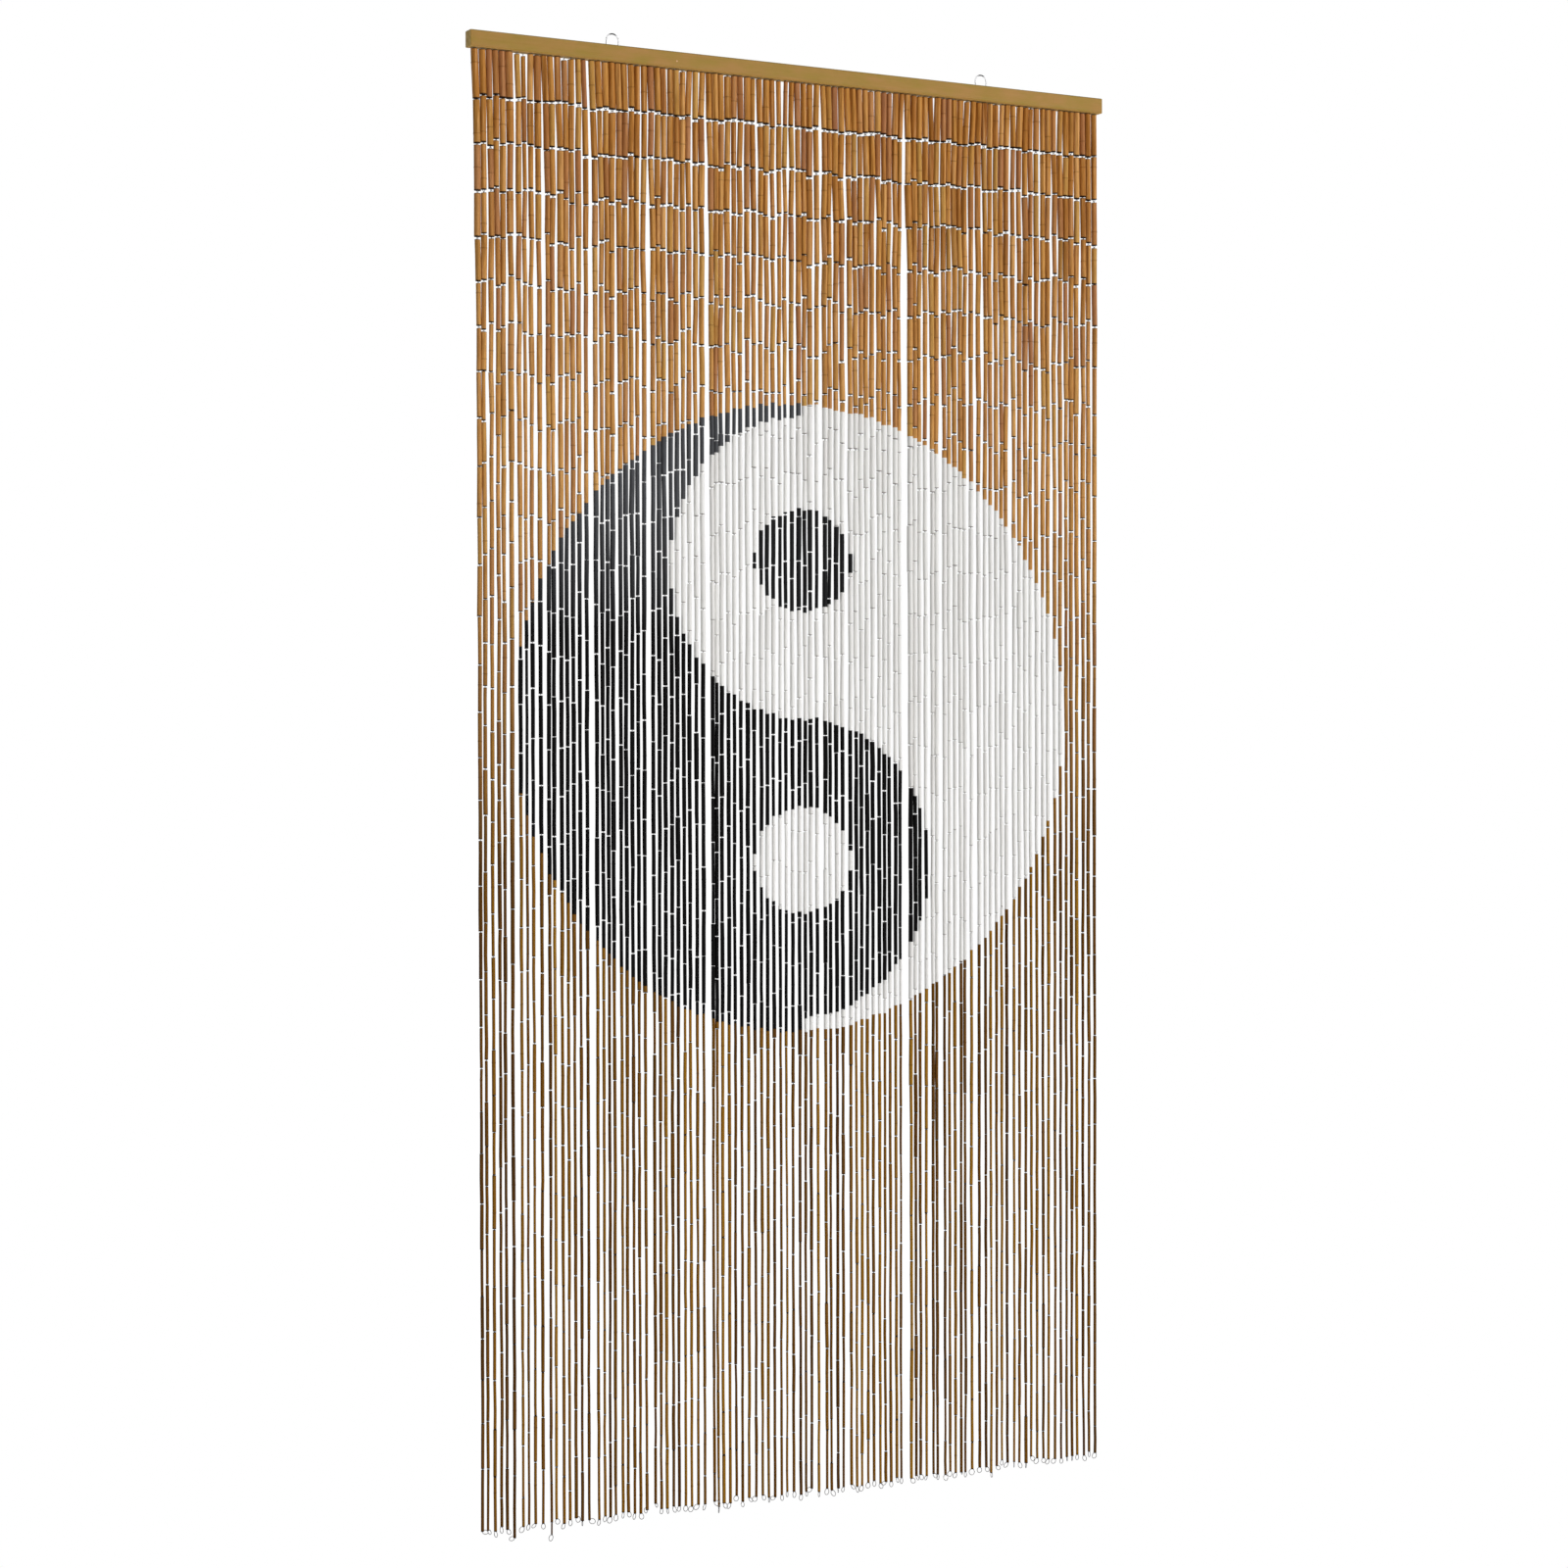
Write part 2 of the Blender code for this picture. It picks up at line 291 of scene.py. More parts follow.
# Studio: floor, room light, and square lights with their place, side and power
FLOOR_RADIUS = 40.0
FLOOR_SIDES = 64
FLOOR_BELOW_CURTAIN = 0.02
ROOM_LEVEL_AT_HORIZON = 0.17
ROOM_LEVEL_OVERHEAD = 0.08
OVERHEAD_RISE = 0.9
LIGHT_AIM = Vector((0.0, 0.0, -0.9))
Light = namedtuple("Light", "name place side power")
LIGHTS = (
    Light("key_light", (4.6, -6.6, 1.8), 3.2, 520.0),
    Light("fill_light", (-2.8, -2.9, -1.5), 2.0, 42.0),
    Light("back_light", (0.6, 4.6, 0.6), 2.4, 80.0),
)

# View of the curtain from the left, at the middle of its height
CAMERA_PLACE = Vector((-2.1561, -3.9496, -0.9211))
CAMERA_TURN = math.radians(28.37)
CAMERA_DIP = math.radians(0.865)
CAMERA_ROLL = math.radians(-0.13)
CAMERA_LENS = 73.75
SENSOR_WIDTH = 36.0


def colour(red, green, blue):
    """A screen colour from 0 to 255 as the linear RGBA that shaders use."""
    def linear(value):
        share = value / 255
        return share / 12.92 if share <= 0.04045 else ((share + 0.055) / 1.055) ** 2.4
    return (linear(red), linear(green), linear(blue), 1.0)


class Recipe:
    """Builds one material's nodes, a step at a time."""

    def __init__(self, name):
        self.material = bpy.data.materials.new(name)
        self.material.use_nodes = True
        self.tree = self.material.node_tree
        self.shader = self.tree.nodes["Principled BSDF"]

    def node(self, kind, inputs=None, **settings):
        made = self.tree.nodes.new(kind)
        for key, value in settings.items():
            setattr(made, key, value)
        for key, value in (inputs or {}).items():
            self.feed(made.inputs[key], value)
        return made

    def feed(self, socket, value):
        if isinstance(value, bpy.types.NodeSocket):
            self.tree.links.new(value, socket)
        else:
            socket.default_value = value

    def set(self, **values):
        for key, value in values.items():
            self.feed(self.shader.inputs[key.replace("_", " ")], value)

    def attribute(self, name):
        return self.node("ShaderNodeAttribute", attribute_name=name).outputs["Fac"]

    def place(self):
        return self.node("ShaderNodeTexCoord").outputs["Object"]

    def height(self):
        return self.axes(self.place())[2]

    def axes(self, vector):
        return self.node("ShaderNodeSeparateXYZ", {"Vector": vector}).outputs

    def math(self, operation, first, second=0.0, third=0.0):
        made = self.node("ShaderNodeMath", {0: first, 1: second, 2: third}, operation=operation)
        return made.outputs[0]

    def stretched(self, scale):
        return self.node("ShaderNodeMapping", {"Vector": self.place(), "Scale": scale}).outputs[0]

    def noise(self, vector, scale, detail=2.0, roughness=0.5, seed=0.0):
        inputs = {"Vector": vector, "W": seed, "Scale": scale, "Detail": detail, "Roughness": roughness}
        return self.node("ShaderNodeTexNoise", inputs, noise_dimensions="4D").outputs[0]

    def span(self, value, low, high, to_low=0.0, to_high=1.0):
        inputs = {0: value, 1: low, 2: high, 3: to_low, 4: to_high}
        return self.node("ShaderNodeMapRange", inputs).outputs[0]

    def blend(self, share, first, second, kind="MIX"):
        made = self.node("ShaderNodeMix", data_type="RGBA", blend_type=kind)
        self.feed(made.inputs[0], share)
        self.feed(made.inputs[6], first)
        self.feed(made.inputs[7], second)
        return made.outputs[2]

    def ramp(self, share, stops):
        made = self.node("ShaderNodeValToRGB", {0: share})
        points = made.color_ramp.elements
        while len(points) < len(stops):
            points.new(1.0)
        for point, (position, tone) in zip(points, stops):
            point.position = position
            point.color = tone
        return made.outputs[0]

    def bump(self, height, distance, strength):
        inputs = {"Height": height, "Distance": distance, "Strength": strength}
        self.feed(self.shader.inputs["Normal"], self.node("ShaderNodeBump", inputs).outputs[0])


def inside_round(recipe, x, z, figure):
    """1 where a point lies inside a round of the curtain's front, else 0."""
    across = recipe.math("DIVIDE", recipe.math("SUBTRACT", x, figure.x), figure.wide)
    up = recipe.math("DIVIDE", recipe.math("SUBTRACT", z, RAIL_TOP - figure.drop), figure.tall)
    squared = recipe.math("MULTIPLY_ADD", up, up, recipe.math("MULTIPLY", across, across))
    return recipe.math("LESS_THAN", squared, 1.0)


def paint_masks(recipe):
    """The round figure: masks for all of its paint, for the white share of it and for the dark spot."""
    x = recipe.attribute("paint_x")
    z = recipe.attribute("paint_z")
    disc = inside_round(recipe, x, z, DISC)
    right = recipe.math("GREATER_THAN", x, 0.0)
    right_only = recipe.math("SUBTRACT", right, inside_round(recipe, x, z, LOWER_LOBE))
    body = recipe.math("MAXIMUM", inside_round(recipe, x, z, UPPER_LOBE), right_only)
    spot = inside_round(recipe, x, z, DARK_SPOT)
    body = recipe.math("SUBTRACT", body, spot)
    white = recipe.math("MAXIMUM", body, inside_round(recipe, x, z, WHITE_SPOT))
    return disc, white, spot


def amber_skin(recipe, tone, warmth):
    """Amber lacquer of the upper canes, each with its own streaks and warmth."""
    own = recipe.math("MULTIPLY", warmth, STREAK_SPREAD)
    streak = recipe.noise(recipe.stretched((1.0, 1.0, 0.02)), scale=330.0, seed=own)
    skin = recipe.ramp(tone, (
        (0.0, colour(156, 98, 40)),
        (0.3, colour(180, 120, 52)),
        (0.7, colour(194, 136, 64)),
        (1.0, colour(212, 158, 90)),
    ))
    skin = recipe.blend(recipe.span(streak, 0.53, 0.64, 0.0, 0.8), skin, colour(128, 76, 20))
    skin = recipe.blend(recipe.span(streak, 0.47, 0.37, 0.0, 0.6), skin, colour(218, 166, 108))
    skin = recipe.blend(recipe.span(recipe.height(), *AMBER_PALES, 0.0, 0.35), skin, colour(226, 176, 108))
    skin = recipe.blend(recipe.span(warmth, 0.7, 1.0, 0.0, 0.7), skin, colour(166, 112, 80))
    return recipe.blend(recipe.span(warmth, 0.2, 0.0, 0.0, 0.5), skin, colour(196, 158, 84))


def brown_skin(recipe, tone):
    """Deep brown lacquer of the lower canes, one tone to a strand."""
    skin = recipe.ramp(recipe.attribute("strand_tone"), (
        (0.0, colour(60, 36, 4)),
        (0.4, colour(92, 60, 8)),
        (0.7, colour(118, 80, 12)),
        (1.0, colour(160, 116, 30)),
    ))
    return recipe.blend(recipe.span(tone, 0.2, 0.9, 0.0, 0.3), skin, colour(160, 104, 12))


def worn_and_shaded_skin(recipe, skin, fibre, from_bottom):
    """The lacquer with its fibres, blotches and dark knot, and ends darkened with painted shade of the
    joint gaps.
    """
    blotch = recipe.noise(recipe.stretched((1.0, 1.0, 0.25)), scale=90.0)
    knot = recipe.math("MULTIPLY", recipe.attribute("cane_knot"), 0.45)
    # Both ends darken near black: painted shade of the joint gaps and bores
    top_end_shade = recipe.span(recipe.attribute("from_top"), *TOP_END_SHADE, 0.0, 0.7)
    bottom_end_shade = recipe.span(from_bottom, *BOTTOM_END_SHADE, 0.0, 0.95)
    skin = recipe.blend(recipe.span(fibre, 0.42, 0.72, 0.0, 0.5), skin, colour(104, 60, 14))
    skin = recipe.blend(recipe.span(blotch, 0.5, 0.8, 0.0, 0.35), skin, colour(130, 78, 26))
    skin = recipe.blend(knot, skin, colour(80, 44, 10))
    skin = recipe.blend(top_end_shade, skin, colour(44, 22, 6))
    return recipe.blend(bottom_end_shade, skin, colour(26, 13, 4))


def black_coat(recipe, spot, fibre):
    """Black paint, greyer towards the disc's top with a painted sheen that stands in for reflected light.
    """
    # Greyer black towards the top: a painted sheen standing in for reflected light
    low = recipe.span(recipe.height(), *BLACK_SHEEN_FADES)
    deep = recipe.math("MAXIMUM", low, recipe.math("MULTIPLY", spot, 0.85))
    paint = recipe.blend(deep, colour(76, 77, 80), colour(5, 4, 4))
    return recipe.blend(recipe.span(fibre, 0.45, 0.75, 0.0, 0.5), paint, colour(4, 4, 4))


def white_coat(recipe, tone, fibre, from_bottom):
    """White paint with a tint of its own on each cane, and a bottom end darkened with painted shade of the
    joint gap.
    """
    # The bottom end darkens: painted shade of the joint gap
    bottom_end_shade = recipe.span(from_bottom, *WHITE_BOTTOM_SHADE, 0.0, 0.7)
    paint = recipe.blend(tone, colour(220, 218, 215), colour(235, 234, 231))
    paint = recipe.blend(recipe.span(fibre, 0.5, 0.8, 0.0, 0.3), paint, colour(212, 208, 200))
    return recipe.blend(bottom_end_shade, paint, colour(100, 90, 76))


def bamboo_finish():
    """Lacquered cane with fibres and darker ends, painted black and white inside the figure."""
    recipe = Recipe("lacquered_bamboo")
    tone = recipe.attribute("cane_tone")
    warmth = recipe.attribute("cane_warmth")
    from_bottom = recipe.attribute("from_bottom")
    fibre = recipe.noise(recipe.stretched((1.0, 1.0, 0.03)), scale=1400.0, detail=3.0, roughness=0.6)
    low = recipe.span(recipe.height(), *CANES_DARKEN)
    skin = recipe.blend(low, amber_skin(recipe, tone, warmth), brown_skin(recipe, tone))
    skin = worn_and_shaded_skin(recipe, skin, fibre, from_bottom)
    disc, white, spot = paint_masks(recipe)
    black_paint = black_coat(recipe, spot, fibre)
    white_paint = white_coat(recipe, tone, fibre, from_bottom)
    coat = recipe.blend(disc, skin, recipe.blend(white, black_paint, white_paint))
    # Cut ends and bores are coloured near black: cut wood darkened with painted shade of the hollow bore
    coat = recipe.blend(recipe.attribute("cane_end"), coat, colour(34, 20, 9))
    recipe.set(Base_Color=coat, Roughness=recipe.span(fibre, 0.3, 0.8, 0.5, 0.65))
    recipe.set(Specular_IOR_Level=0.08)
    recipe.bump(fibre, distance=0.00012, strength=0.5)
    return recipe.material


def rail_finish():
    """Olive-brown stain over fine lengthwise grain, with bare end grain on the cut ends."""
    recipe = Recipe("stained_rail")
    x, _, z = recipe.axes(recipe.place())
    grain = recipe.noise(recipe.stretched((0.02, 1.0, 1.0)), scale=700.0, detail=4.0, roughness=0.6)
    cloud = recipe.noise(recipe.stretched((0.4, 1.0, 1.0)), scale=70.0)
    stain = recipe.ramp(cloud, ((0.35, colour(152, 123, 54)), (0.65, colour(164, 124, 66))))
    stain = recipe.blend(recipe.span(grain, 0.45, 0.75, 0.0, 0.2), stain, colour(128, 98, 38))
    rings = recipe.noise(recipe.stretched((1.0, 1.0, 0.35)), scale=420.0, detail=3.0)
    raw = recipe.ramp(rings, ((0.35, colour(176, 146, 88)), (0.65, colour(216, 188, 126))))
    cut_end = recipe.math("GREATER_THAN", recipe.math("ABSOLUTE", x), RAIL_HIGH.x - BARE_END_DEPTH)
    nail = inside_round(recipe, x, z, NAIL_HEAD)
    stain = recipe.blend(nail, stain, colour(214, 172, 132))
    # The underside turns to a lighter tone: painted light that brightens the shaded underside
    lit_underside = recipe.math("LESS_THAN", z, RAIL_UNDERSIDE + LIT_UNDERSIDE_DEPTH)
    stain = recipe.blend(lit_underside, stain, colour(206, 166, 92))
    # A greenish grey band on the top edge: a painted reflection on the bevel
    edge_sheen = recipe.span(z, *RAIL_EDGE_SHEEN, 0.0, 0.6)
    stain = recipe.blend(edge_sheen, stain, colour(112, 108, 62))
    recipe.set(Base_Color=recipe.blend(cut_end, stain, raw))
    recipe.set(Roughness=recipe.span(grain, 0.3, 0.8, 0.5, 0.65), Specular_IOR_Level=0.1)
    recipe.bump(grain, distance=0.0002, strength=0.35)
    return recipe.material


def wire_finish():
    """Drawn steel, dulled to a middling grey."""
    recipe = Recipe("drawn_wire")
    tarnish = recipe.noise(recipe.place(), scale=900.0)
    tone = recipe.ramp(tarnish, ((0.35, colour(172, 172, 174)), (0.7, colour(136, 134, 132))))
    recipe.set(Base_Color=tone, Metallic=0.6, Roughness=recipe.span(tarnish, 0.3, 0.8, 0.3, 0.45))
    return recipe.material


def link_finish():
    """Dull brown iron wire."""
    recipe = Recipe("iron_wire")
    rust = recipe.noise(recipe.place(), scale=700.0)
    tone = recipe.ramp(rust, ((0.35, colour(84, 66, 48)), (0.7, colour(52, 40, 28))))
    recipe.set(Base_Color=tone, Metallic=0.1, Roughness=0.55)
    return recipe.material


def eye_finish():
    """Pale wire, coloured near black across its crown above a set height."""
    recipe = Recipe("eye_wire")
    dark_crown = recipe.span(recipe.height(), *EYE_DARKENS)
    tone = recipe.blend(dark_crown, colour(236, 236, 238), colour(20, 20, 22))
    recipe.set(Base_Color=tone, Metallic=0.2, Roughness=0.35)
    return recipe.material


def floor_finish():
    """Pale matt studio floor that the camera sees as plain white."""
    recipe = Recipe("pale_floor")
    seen = recipe.node("ShaderNodeLightPath").outputs["Is Camera Ray"]
    tone = recipe.blend(seen, (0.6, 0.6, 0.6, 1.0), (0.0, 0.0, 0.0, 1.0))
    glow = recipe.span(seen, 0.0, 1.0, 0.24, 1.0)
    recipe.set(Base_Color=tone, Roughness=1.0, Specular_IOR_Level=0.0)
    recipe.set(Emission_Color=(1.0, 1.0, 1.0, 1.0), Emission_Strength=glow)
    return recipe.material


def between(first, second, share):
    """The value at a share of the way from the first to the second."""
    return first + (second - first) * share


def mild_luck(chance):
    """A random number that is mostly small and never far out."""
    return max(-LUCK_MOST, min(LUCK_MOST, chance.gauss(0, 1)))


def cane_width(drop):
    """Canes are cut from a stem's thick end at the rail and from its thin end at the foot."""
    return CANE_WIDTH_LEAST + (CANE_WIDTH_AT_TOP - CANE_WIDTH_LEAST) * math.exp(-drop / TAPER_DROP)


def settled(drop):
    """The share of its sideways shift that a strand has reached at a drop below the rail."""
    return 1 - math.exp(-drop / SETTLE_DROP)


def plan_strands(chance):
    """Work out every strand from the even row, its own small spread and the standouts."""
    standouts = {row.number: row for row in STANDOUTS}
    plain_end = FIRST_CANE_DROP + CANES_PER_STRAND * CANE_PITCH - CANE_GAP
    strands = []
    for number in range(STRAND_COUNT):
        hook_x = (number - (STRAND_COUNT - 1) / 2) * STRAND_PITCH
        wave = WAVE_SHIFT * math.sin(math.tau * (number - WAVE_START) / WAVE_STRANDS)
        own_shift = chance.uniform(-PLACE_SPREAD, PLACE_SPREAD)
        dip = FOOT_DIP * math.cos(math.pi * hook_x / RAIL_LENGTH)
        end_drop = plain_end + dip + chance.uniform(-LENGTH_SPREAD, LENGTH_SPREAD)
        stout = 1 + chance.uniform(-WIDTH_SPREAD, WIDTH_SPREAD)
        row = standouts.get(number)
        if row:
            own_shift = row.shift
            end_drop += row.longer
            stout *= row.stout
        shift = own_shift + wave - DRAWN_IN_SHARE * hook_x
        strands.append(Strand(hook_x, shift, end_drop, stout))
    return strands


def widen_between(places, widths, clearance=STRAND_CLEARANCE):
    """Ease touching neighbours apart by equal shares, then push right what still touches."""
    reaches = [(left + right) / 2 + clearance for left, right in zip(widths, widths[1:])]
    for _ in range(EASING_PASSES):
        for left, reach in enumerate(reaches):
            lack = max(0.0, reach - (places[left + 1] - places[left]))
            places[left] -= lack / 2
            places[left + 1] += lack / 2
    for left, reach in enumerate(reaches):
        places[left + 1] = max(places[left + 1], places[left] + reach)


def ring_row(strands, drops, chance):
    """One point of each strand's line as (x, y, drop), all at about the same height."""
    widths = [SOLID_WIDTH_SHARE * strand.stout * cane_width(drop) for strand, drop in zip(strands, drops)]
    places = []
    depths = []
    for strand, drop in zip(strands, drops):
        freedom = min(1.0, TOP_SWAY_SHARE + drop / SWAY_DROP)
        sway = chance.uniform(-SWAY_SIDEWAYS, SWAY_SIDEWAYS) * freedom
        places.append(strand.hook_x + strand.shift * settled(drop) + sway)
        depths.append(RAIL_MIDDLE_Y + chance.uniform(-SWAY_FRONT_TO_BACK, SWAY_FRONT_TO_BACK) * freedom)
    widen_between(places, widths)
    return list(zip(places, depths, drops))


def plan_lines(strands, chance):
    """Every strand's line as an array of (x, y, drop), from its first cane's top to its last one's end."""
    rows = [ring_row(strands, [FIRST_CANE_DROP] * len(strands), chance)]
    for canes in KINK_CANES:
        drop = FIRST_CANE_DROP + canes * CANE_PITCH
        rows.append(ring_row(strands, [drop] * len(strands), chance))
    rows.append(ring_row(strands, [strand.end_drop for strand in strands], chance))
    return [np.array([row[number] for row in rows]) for number in range(len(strands))]


def on_line(line, drop):
    """The strand's place at a drop below the rail."""
    x = np.interp(drop, line[:, 2], line[:, 0])
    y = np.interp(drop, line[:, 2], line[:, 1])
    return np.array((x, y, RAIL_UNDERSIDE - drop))


Cane = namedtuple("Cane", "strand order top bottom width")


def within(figure, x, drop):
    """Whether a place on the curtain's front lies inside a round of the painted figure."""
    return math.hypot((x - figure.x) / figure.wide, (drop - figure.drop) / figure.tall) < 1


def paint_thickness(x, drop):
    """What lacquer or paint adds to a cane's width."""
    if not within(DISC, x, drop):
        return BARE_COAT_PER_METRE * max(0.0, drop - BARE_COAT_FROM)
    body = within(UPPER_LOBE, x, drop) or (x > 0 and not within(LOWER_LOBE, x, drop))
    if within(WHITE_SPOT, x, drop) or (body and not within(DARK_SPOT, x, drop)):
        return WHITE_COAT
    return BLACK_COAT_PER_METRE * max(0.0, drop - BLACK_COAT_FROM)


def drawn_back(number, drop):
    """How far a strand is moved sideways at a drop below the rail by the partings beside it."""
    shift = 0.0
    for parting in PARTINGS:
        steps = number - parting.after
        push = parting.push * settled(max(0.0, drop - parting.opens))
        if steps > 0:
            shift += push * PARTING_FADE ** (steps - 1)
        else:
            shift -= push * PARTING_FADE ** -steps
    return shift


def cane_shares(chance):
    """Lengths of one strand's canes against the pitch, a little uneven; the last takes what is left."""
    shares = []
    for order in range(CANES_PER_STRAND):
        spread = min(CANE_LENGTH_SPREAD, CANE_LENGTH_SPREAD_AT_TOP + CANE_LENGTH_SPREAD_STEP * order)
        shares.append(1 + chance.gauss(0, spread))
    left_over = CANES_PER_STRAND - sum(shares[:-1])
    shares[-1] = max(LAST_CANE_LEAST, min(LAST_CANE_MOST, left_over))
    return shares


def plan_joints(number, strand, line, chance):
    """Places of the joints down one strand, each swung a little out of its line."""
    short = SHORT_LAST_CANE.get(number, 0.0)
    shares = cane_shares(chance)
    length = strand.end_drop + CANE_GAP - FIRST_CANE_DROP - short
    drops = FIRST_CANE_DROP + length * np.cumsum([0.0] + shares) / sum(shares)
    drops[0] = min(FIRST_CANE_LEAST + chance.expovariate(1 / FIRST_CANE_SLACK), FIRST_CANE_MOST)
    if short:
        drops = np.append(drops, drops[-1] + short)
    joints = [on_line(line, drop) for drop in drops]
    wander = mild_luck(chance) * STRAND_WANDER
    for joint, drop in zip(joints, drops):
        fall = math.exp(-drop / JOINT_SWAY_FALL)
        sway = between(JOINT_SWAY_AT_FOOT, JOINT_SWAY_AT_TOP, fall) * settled(drop)
        joint[0] += chance.gauss(0, sway) + wander * settled(drop) + drawn_back(number, drop)
        joint[1] += chance.gauss(0, sway)
    joints[0][0] += chance.gauss(0, HOOK_SWAY)
    return joints


def plan_widths(strand, joints, chance):
    """Widths of one strand's canes."""
    widths = []
    for top, bottom in zip(joints, joints[1:]):
        drop = RAIL_UNDERSIDE - (top[2] + bottom[2]) / 2
        low = drop / (CANES_PER_STRAND * CANE_PITCH)
        spread = between(CANE_WIDTH_SPREAD_AT_TOP, CANE_WIDTH_SPREAD_AT_FOOT, low)
        skin = CANE_SKIN + FIRST_CANES_SKIN * math.exp(-drop / FIRST_CANES_FALL)
        width = strand.stout * cane_width(drop) * (1 + spread * mild_luck(chance)) + skin
        middle_x = (top[0] + bottom[0]) / 2
        middle_drop = RAIL_TOP - (top[2] + bottom[2]) / 2
        widths.append(width + paint_thickness(middle_x, middle_drop))
    for index in range(CANES_PER_STRAND, len(widths)):
        widths[index] *= SHORT_CANE_WIDTH_SHARE
    return widths


def part_neighbours(joints, widths):
    """Move touching canes' joints apart, row by row."""
    for order in range(CANES_PER_STRAND + 1):
        row = [own[order] for own in joints]
        wide = [max(own[max(0, order - 1):order + 1]) for own in widths]
        places = [float(joint[0]) for joint in row]
        widen_between(places, wide, CANE_TOUCH)
        for joint, place in zip(row, places):
            joint[0] = place


def evened(lines):
    """The strands' lines, each drawn part of the way to the middle of its two neighbours."""
    places = np.array([line[:, 0] for line in lines])
    middles = (places[:-2] + places[2:]) / 2
    share = STRAND_EVENING * np.minimum(1.0, lines[0][:, 2] / STRAND_EVENING_DROP)
    places[1:-1] += share * (middles - places[1:-1])
    return [np.column_stack((own, line[:, 1:])) for own, line in zip(places, lines)]


def half_gap(order, chance):
    """Half of the gap that the wire keeps open between a cane and the next one down."""
    fall = math.exp(-order * CANE_PITCH / JOINT_GAP_FALL)
    gap = between(JOINT_GAP_AT_FOOT, JOINT_GAP_AT_TOP, fall)
    return gap * (1 + chance.uniform(-JOINT_GAP_SPREAD, JOINT_GAP_SPREAD)) / 2


def plan_canes(strands, lines, chance):
    """Every cane with its two ends and width, a list for each strand."""
    lines = evened(lines)
    joints = []
    for number, (strand, line) in enumerate(zip(strands, lines)):
        joints.append(plan_joints(number, strand, line, chance))
    widths = [plan_widths(strand, own, chance) for strand, own in zip(strands, joints)]
    part_neighbours(joints, widths)
    rows = []
    for number, (own, wide) in enumerate(zip(joints, widths)):
        canes = []
        above = 0.0
        for order, (top, bottom) in enumerate(zip(own, own[1:])):
            below = half_gap(order, chance)
            down = (bottom - top) / np.linalg.norm(bottom - top)
            canes.append(Cane(number, order, top + down * above, bottom - down * below, wide[order]))
            above = below
        rows.append(canes)
    return rows


Pattern = namedtuple("Pattern", "points faces")


def pattern_of(bm):
    """The points and faces of a finished bmesh, which is freed."""
    bmesh.ops.recalc_face_normals(bm, faces=bm.faces)
    bm.verts.index_update()
    points = np.array([vert.co[:] for vert in bm.verts])
    faces = [tuple(vert.index for vert in face.verts) for face in bm.faces]
    bm.free()
    return Pattern(points, faces)


def cane_pattern():
    """A cane 1 long and 1 in radius, hung from its top: a tube with a knot ring and two bored ends."""
    bm = bmesh.new()
    bmesh.ops.create_cone(
        bm, cap_ends=True, segments=CANE_SIDES, radius1=1.0, radius2=1.0, depth=1.0,
        matrix=Matrix.Translation((0, 0, -0.5)),
    )
    for cut in (-KNOT_HALF_LENGTH, 0.0, KNOT_HALF_LENGTH):
        bmesh.ops.bisect_plane(
            bm, geom=bm.verts[:] + bm.edges[:] + bm.faces[:],
            plane_co=(0, 0, -0.5 + cut), plane_no=(0, 0, 1),
        )
    bm.normal_update()
    for end in [face for face in bm.faces if abs(face.normal.z) > 0.9]:
        inward = -end.normal * CANE_BORE_DEPTH
        bmesh.ops.inset_region(bm, faces=[end], thickness=CANE_WALL, use_even_offset=True)
        bore = bmesh.ops.extrude_discrete_faces(bm, faces=[end])["faces"][0]
        bmesh.ops.translate(bm, vec=inward, verts=bore.verts)
    return pattern_of(bm)


def ring_pattern(steps, sides, wire_share):
    """A round wire ring of radius 1 in the XZ plane, its wire wire_share thick."""
    bm = bmesh.new()
    section = bmesh.ops.create_circle(
        bm, segments=sides, radius=wire_share / 2, matrix=Matrix.Translation((1, 0, 0)),
    )
    geom = section["verts"] + bm.edges[:]
    bmesh.ops.spin(
        bm, geom=geom, cent=(0, 0, 0), axis=(0, 1, 0), angle=math.tau, steps=steps, use_merge=True,
    )
    return pattern_of(bm)


def shown(name, mesh, finish):
    """A finished mesh as an object in the scene."""
    mesh.materials.append(finish)
    made = bpy.data.objects.new(name, mesh)
    bpy.context.scene.collection.objects.link(made)
    return made


def smoothed(mesh):
    """Shade a mesh smooth but for its hard edges."""
    mesh.shade_smooth()
    mesh.set_sharp_from_angle(angle=SHARP_ANGLE)


def joined(name, pattern, copies, finish, attributes=None):
    """One piece of many copies of a pattern, given as an array of every copy's points."""
    count, size, _ = copies.shape
    faces = []
    for copy in range(count):
        faces += [tuple(index + copy * size for index in face) for face in pattern.faces]
    mesh = bpy.data.meshes.new(name)
    mesh.from_pydata(copies.reshape(-1, 3), [], faces)
    for key, values in (attributes or {}).items():
        layer = mesh.attributes.new(key, "FLOAT", "POINT")
        layer.data.foreach_set("value", np.ascontiguousarray(values, dtype=np.float32).ravel())
    smoothed(mesh)
    piece = shown(name, mesh, finish)
    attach(piece, "root")
    return piece


def cane_axes(run):
    """Two directions across a cane and one down it."""
    down = run / np.linalg.norm(run)
    side = np.cross(down, (0.0, 1.0, 0.0))
    side /= np.linalg.norm(side)
    return side, np.cross(side, down), down


